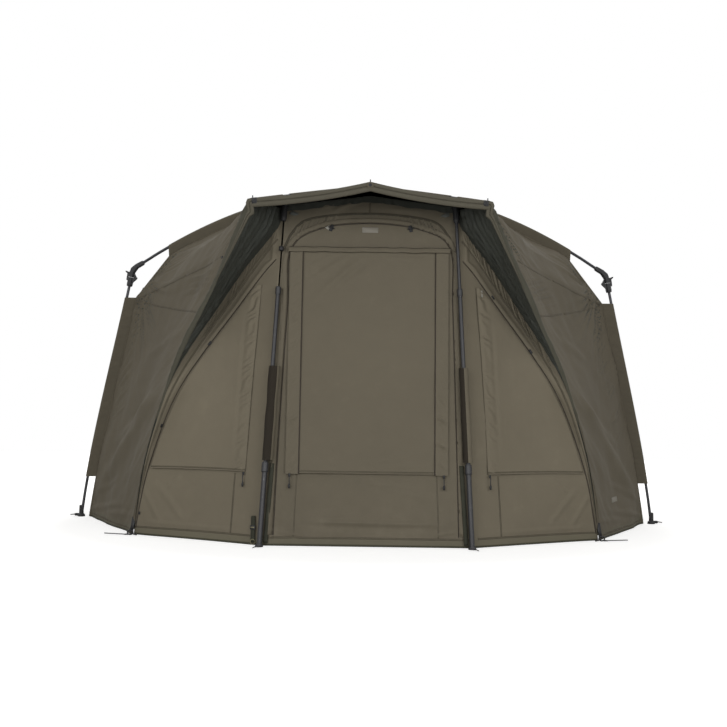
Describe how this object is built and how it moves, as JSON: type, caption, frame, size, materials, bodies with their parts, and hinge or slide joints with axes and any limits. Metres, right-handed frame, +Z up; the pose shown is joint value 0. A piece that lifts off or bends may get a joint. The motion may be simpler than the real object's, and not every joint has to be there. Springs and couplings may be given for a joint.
{
  "type": "fishing brolly shelter",
  "caption": "Folding fishing brolly shelter: a hubbed rib frame with elbowed legs and storm poles, a domed canopy and a zipped front with a door panel.",
  "frame": {"origin": "on the ground, at the middle of the shelter's box", "axes": "+X to the right as seen from in front, +Y from the door towards the rear wall, +Z up"},
  "size_m": [2.6518, 2.0009, 1.476],
  "materials": {
    "canopy_cloth": "matt coated polyester",
    "frame_tube": "dark grey anodised, satin",
    "moulding": "black moulded nylon, matt",
    "zip_tape": "dark coil zip and tape",
    "peg_steel": "plain bright wire"
  },
  "bodies": {
    "hub": {"hub_body": "moulding", "hub_cap": "moulding", "canopy_peak": "canopy_cloth", "canopy_side_left": "canopy_cloth", "canopy_side_right": "canopy_cloth", "canopy_quarter_left": "canopy_cloth", "canopy_quarter_right": "canopy_cloth", "canopy_rear": "canopy_cloth", "peak_hem": "canopy_cloth", "corner_peg_left": "peg_steel", "corner_peg_right": "peg_steel"},
    "centre_rib": {"rib_centre": "frame_tube", "rib_cap_centre": "moulding"},
    "corner_rib_left": {"rib_corner_left": "frame_tube", "rib_cap_corner_left": "moulding"},
    "corner_rib_right": {"rib_corner_right": "frame_tube", "rib_cap_corner_right": "moulding"},
    "side_rib_left": {"rib_side_left": "frame_tube", "elbow_upper_side_left": "moulding"},
    "side_leg_left": {"elbow_lower_side_left": "moulding", "leg_side_left": "frame_tube", "foot_side_left": "moulding"},
    "side_latch_left": {"latch_side_left": "moulding"},
    "side_rib_right": {"rib_side_right": "frame_tube", "elbow_upper_side_right": "moulding"},
    "side_leg_right": {"elbow_lower_side_right": "moulding", "leg_side_right": "frame_tube", "foot_side_right": "moulding"},
    "side_latch_right": {"latch_side_right": "moulding"},
    "rear_rib_left": {"rib_rear_left": "frame_tube", "elbow_upper_rear_left": "moulding"},
    "rear_leg_left": {"elbow_lower_rear_left": "moulding", "leg_rear_left": "frame_tube", "foot_rear_left": "moulding"},
    "rear_latch_left": {"latch_rear_left": "moulding"},
    "rear_rib_right": {"rib_rear_right": "frame_tube", "elbow_upper_rear_right": "moulding"},
    "rear_leg_right": {"elbow_lower_rear_right": "moulding", "leg_rear_right": "frame_tube", "foot_rear_right": "moulding"},
    "rear_latch_right": {"latch_rear_right": "moulding"},
    "storm_pole_left": {"pole_head_left": "moulding", "pole_upper_left": "frame_tube", "door_panel": "canopy_cloth", "door_window_cover": "canopy_cloth", "door_zip": "zip_tape", "side_panel_left": "canopy_cloth", "side_zip_left": "zip_tape"},
    "storm_pole_right": {"pole_head_right": "moulding", "pole_upper_right": "frame_tube", "side_panel_right": "canopy_cloth", "side_zip_right": "zip_tape"},
    "middle_tube_left": {"pole_middle_left": "frame_tube"},
    "lower_tube_left": {"pole_lower_left": "frame_tube"},
    "door_slider_left": {"slider_door_left": "moulding"},
    "side_slider_left": {"slider_side_left": "moulding"},
    "middle_tube_right": {"pole_middle_right": "frame_tube"},
    "lower_tube_right": {"pole_lower_right": "frame_tube"},
    "door_slider_right": {"slider_door_right": "moulding"},
    "side_slider_right": {"slider_side_right": "moulding"}
  },
  "joints": [
    {"name": "centre_rib_hinge", "type": "hinge", "parent": "hub", "child": "centre_rib", "pos_m": [0, -0.2506, 1.447], "axis": [-1, 0, 0], "range_deg": [0, 88.2]},
    {"name": "corner_rib_left_hinge", "type": "hinge", "parent": "hub", "child": "corner_rib_left", "pos_m": [-0.03054, -0.24224, 1.447], "axis": [-0.8607, 0.509, 0], "range_deg": [0, 91.4]},
    {"name": "corner_rib_right_hinge", "type": "hinge", "parent": "hub", "child": "corner_rib_right", "pos_m": [0.03054, -0.24224, 1.447], "axis": [-0.8607, -0.509, 0], "range_deg": [0, 91.4]},
    {"name": "side_rib_left_hinge", "type": "hinge", "parent": "hub", "child": "side_rib_left", "pos_m": [-0.05914, -0.18049, 1.447], "axis": [0.1685, 0.9857, 0], "range_deg": [0, 98.7], "deforming": ["canopy_peak", "canopy_side_left", "canopy_side_right", "canopy_quarter_left", "canopy_quarter_right", "canopy_rear", "peak_hem"]},
    {"name": "side_rib_right_hinge", "type": "hinge", "parent": "hub", "child": "side_rib_right", "pos_m": [0.05914, -0.18049, 1.447], "axis": [0.1685, -0.9857, 0], "range_deg": [0, 98.7]},
    {"name": "rear_rib_left_hinge", "type": "hinge", "parent": "hub", "child": "rear_rib_left", "pos_m": [-0.03, -0.13864, 1.447], "axis": [0.866, 0.5, 0], "range_deg": [0, 100.4]},
    {"name": "rear_rib_right_hinge", "type": "hinge", "parent": "hub", "child": "rear_rib_right", "pos_m": [0.03, -0.13864, 1.447], "axis": [0.866, -0.5, 0], "range_deg": [0, 100.4]},
    {"name": "side_elbow_left", "type": "hinge", "parent": "side_rib_left", "child": "side_leg_left", "pos_m": [-1.04223, -0.01245, 1.06696], "axis": [-0.1685, -0.9857, 0], "range_deg": [0, 108]},
    {"name": "side_latch_left_lever", "type": "hinge", "parent": "side_rib_left", "child": "side_latch_left", "pos_m": [-1.07456, -0.00692, 1.0921], "axis": [0.1685, 0.9857, 0], "range_deg": [0, 25]},
    {"name": "side_elbow_right", "type": "hinge", "parent": "side_rib_right", "child": "side_leg_right", "pos_m": [1.04223, -0.01245, 1.06696], "axis": [-0.1685, 0.9857, 0], "range_deg": [0, 108]},
    {"name": "side_latch_right_lever", "type": "hinge", "parent": "side_rib_right", "child": "side_latch_right", "pos_m": [1.07456, -0.00692, 1.0921], "axis": [0.1685, -0.9857, 0], "range_deg": [0, 25]},
    {"name": "rear_elbow_left", "type": "hinge", "parent": "rear_rib_left", "child": "rear_leg_left", "pos_m": [-0.54284, 0.74963, 1.0218], "axis": [-0.866, -0.5, 0], "range_deg": [0, 110.5]},
    {"name": "rear_latch_left_lever", "type": "hinge", "parent": "rear_rib_left", "child": "rear_latch_left", "pos_m": [-0.55913, 0.77785, 1.04721], "axis": [0.866, 0.5, 0], "range_deg": [0, 25]},
    {"name": "rear_elbow_right", "type": "hinge", "parent": "rear_rib_right", "child": "rear_leg_right", "pos_m": [0.54284, 0.74963, 1.0218], "axis": [-0.866, 0.5, 0], "range_deg": [0, 110.5]},
    {"name": "rear_latch_right_lever", "type": "hinge", "parent": "rear_rib_right", "child": "rear_latch_right", "pos_m": [0.55913, 0.77785, 1.04721], "axis": [0.866, -0.5, 0], "range_deg": [0, 25]},
    {"name": "storm_pole_left_swing", "type": "hinge", "parent": "corner_rib_left", "child": "storm_pole_left", "pos_m": [-0.32782, -0.74492, 1.308], "axis": [0.8607, -0.509, 0], "range_deg": [0, 97], "deforming": ["door_panel", "door_window_cover", "door_zip", "side_panel_left", "side_zip_left"]},
    {"name": "middle_tube_left_slide", "type": "slide", "parent": "storm_pole_left", "child": "middle_tube_left", "axis": [0.0478, 0.1488, 0.9877], "range_m": [0, 0.25]},
    {"name": "lower_tube_left_slide", "type": "slide", "parent": "middle_tube_left", "child": "lower_tube_left", "axis": [0.0478, 0.1488, 0.9877], "range_m": [0, 0.175]},
    {"name": "door_slider_left_slide", "type": "slide", "parent": "storm_pole_left", "child": "door_slider_left", "axis": [0, 0.1435, 0.9897], "range_m": [0, 0.85]},
    {"name": "side_slider_left_slide", "type": "slide", "parent": "storm_pole_left", "child": "side_slider_left", "axis": [0, 0.1715, 0.9852], "range_m": [0, 0.655]},
    {"name": "storm_pole_right_swing", "type": "hinge", "parent": "corner_rib_right", "child": "storm_pole_right", "pos_m": [0.32782, -0.74492, 1.308], "axis": [0.8607, 0.509, 0], "range_deg": [0, 97], "deforming": ["side_panel_right", "side_zip_right"]},
    {"name": "middle_tube_right_slide", "type": "slide", "parent": "storm_pole_right", "child": "middle_tube_right", "axis": [-0.0478, 0.1488, 0.9877], "range_m": [0, 0.25]},
    {"name": "lower_tube_right_slide", "type": "slide", "parent": "middle_tube_right", "child": "lower_tube_right", "axis": [-0.0478, 0.1488, 0.9877], "range_m": [0, 0.175]},
    {"name": "door_slider_right_slide", "type": "slide", "parent": "storm_pole_left", "child": "door_slider_right", "axis": [0, 0.1435, 0.9897], "range_m": [0, 0.85]},
    {"name": "side_slider_right_slide", "type": "slide", "parent": "storm_pole_right", "child": "side_slider_right", "axis": [0, 0.1715, 0.9852], "range_m": [0, 0.655]}
  ],
  "couplings": [
    {"joint": "centre_rib_hinge", "follows": "side_rib_left_hinge", "ratio": 0.89361},
    {"joint": "corner_rib_left_hinge", "follows": "side_rib_left_hinge", "ratio": 0.92603},
    {"joint": "corner_rib_right_hinge", "follows": "side_rib_left_hinge", "ratio": 0.92603},
    {"joint": "side_rib_right_hinge", "follows": "side_rib_left_hinge", "ratio": 1},
    {"joint": "rear_rib_left_hinge", "follows": "side_rib_left_hinge", "ratio": 1.0172},
    {"joint": "rear_rib_right_hinge", "follows": "side_rib_left_hinge", "ratio": 1.0172},
    {"joint": "side_elbow_left", "follows": "side_rib_left_hinge", "ratio": 1.0942},
    {"joint": "side_elbow_right", "follows": "side_rib_left_hinge", "ratio": 1.0942},
    {"joint": "rear_elbow_left", "follows": "side_rib_left_hinge", "ratio": 1.1196},
    {"joint": "rear_elbow_right", "follows": "side_rib_left_hinge", "ratio": 1.1196},
    {"joint": "storm_pole_left_swing", "follows": "side_rib_left_hinge", "ratio": 0.98277},
    {"joint": "storm_pole_right_swing", "follows": "side_rib_left_hinge", "ratio": 0.98277}
  ]
}
